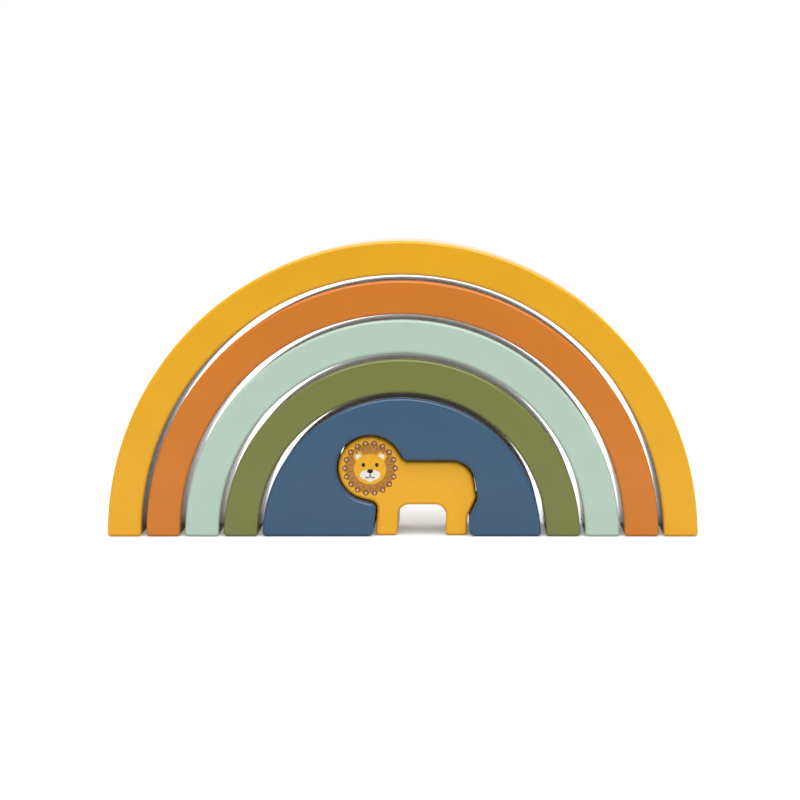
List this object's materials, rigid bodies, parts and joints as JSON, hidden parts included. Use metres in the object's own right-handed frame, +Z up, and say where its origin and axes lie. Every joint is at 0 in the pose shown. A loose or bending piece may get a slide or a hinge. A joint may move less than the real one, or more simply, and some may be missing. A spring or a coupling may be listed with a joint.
{
  "type": "rainbow stacker",
  "caption": "Painted wooden rainbow stacker: arches nest over a half-round block with a lion standing in a notch; the arches lift off and the lion slides out.",
  "frame": {"origin": "on the floor, under the middle of the set", "axes": "+X to the right along the line of the feet, -Y to the front, +Z up"},
  "size_m": [0.2648, 0.04, 0.1324],
  "materials": {
    "blue_paint": "satin paint on the front and back, bare wood round the sides",
    "amber_paint": "satin paint on the front and back, bare wood round the sides",
    "olive_paint": "satin paint on the front and back, bare wood round the sides",
    "mint_paint": "satin paint on the front and back, bare wood round the sides",
    "orange_paint": "satin paint on the front and back, bare wood round the sides",
    "yellow_paint": "satin paint on the front and back, bare wood round the sides"
  },
  "bodies": {
    "block": {"block": "blue_paint"},
    "lion": {"lion": "amber_paint"},
    "inner_arch": {"inner_arch": "olive_paint"},
    "second_arch": {"second_arch": "mint_paint"},
    "third_arch": {"third_arch": "orange_paint"},
    "outer_arch": {"outer_arch": "yellow_paint"}
  },
  "joints": [
    {"name": "lion_slide", "type": "slide", "parent": "block", "child": "lion", "axis": [0, -1, 0], "range_m": [-0.045, 0.045]},
    {"name": "inner_arch_lift", "type": "slide", "parent": "block", "child": "inner_arch", "axis": [0, 0, 1], "range_m": [0, 0.066]},
    {"name": "second_arch_lift", "type": "slide", "parent": "inner_arch", "child": "second_arch", "axis": [0, 0, 1], "range_m": [0, 0.084]},
    {"name": "third_arch_lift", "type": "slide", "parent": "second_arch", "child": "third_arch", "axis": [0, 0, 1], "range_m": [0, 0.101]},
    {"name": "outer_arch_lift", "type": "slide", "parent": "third_arch", "child": "outer_arch", "axis": [0, 0, 1], "range_m": [0, 0.119]}
  ]
}
